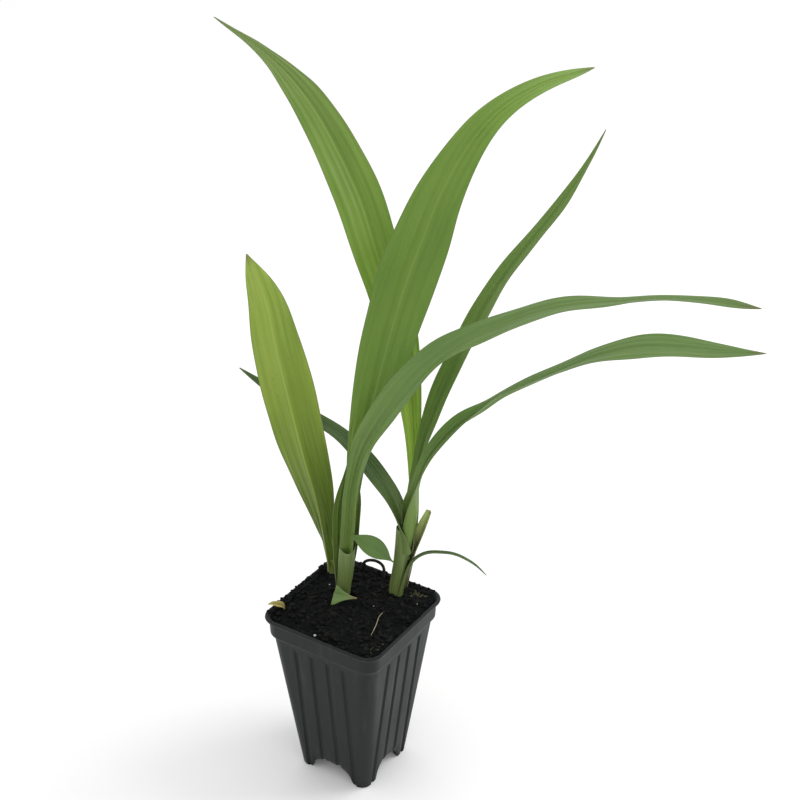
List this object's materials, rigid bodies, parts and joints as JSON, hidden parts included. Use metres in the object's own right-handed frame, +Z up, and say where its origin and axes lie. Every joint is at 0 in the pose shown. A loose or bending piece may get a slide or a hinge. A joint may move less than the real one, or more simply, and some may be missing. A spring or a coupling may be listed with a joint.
{
  "type": "potted ground orchid",
  "caption": "Square tapered nursery pot filled with soil, with shoots of long pleated strap leaves that arch up and outwards from slender stems.",
  "frame": {"origin": "at floor height under the middle of the whole plant's bounding box, so the pot stands off-centre", "axes": "+Z up; X and Y along the pot's sides; the plant spreads widest along X and least along Y, with most leaves reaching towards +Y"},
  "size_m": [0.3318, 0.1532, 0.3269],
  "materials": {
    "pot_plastic": "dark grey moulded plastic with a faint sheen and dust",
    "soil": "rough dark potting mix with pale specks",
    "stem": "satin green stalk with fine lengthwise lines",
    "leaf_broad": "satin mid green, lighter towards the top, with parallel veins",
    "leaf_green": "satin mid green with parallel veins",
    "leaf_bluish": "satin slightly bluish green with parallel veins",
    "leaf_dark": "satin dark green",
    "leaf_pale": "satin yellowish green with parallel veins",
    "leaf_dry": "dry straw yellow, dull"
  },
  "bodies": {
    "root": {"pot": "pot_plastic", "soil": "soil", "stem_front": "stem", "stem_right": "stem", "stem_left": "stem", "leaf_broad": "leaf_broad", "leaf_arching_front": "leaf_bluish", "sheath_front": "leaf_green", "leaf_oval": "leaf_green", "leaf_upright": "leaf_green", "leaf_arching_right": "leaf_bluish", "leaf_left": "leaf_dark", "leaf_tall": "leaf_pale", "leaf_thin": "leaf_dark", "sheath_cut": "stem", "leaf_pale": "leaf_pale", "leaf_scrap": "leaf_green", "leaf_dry": "leaf_dry"}
  },
  "joints": []
}
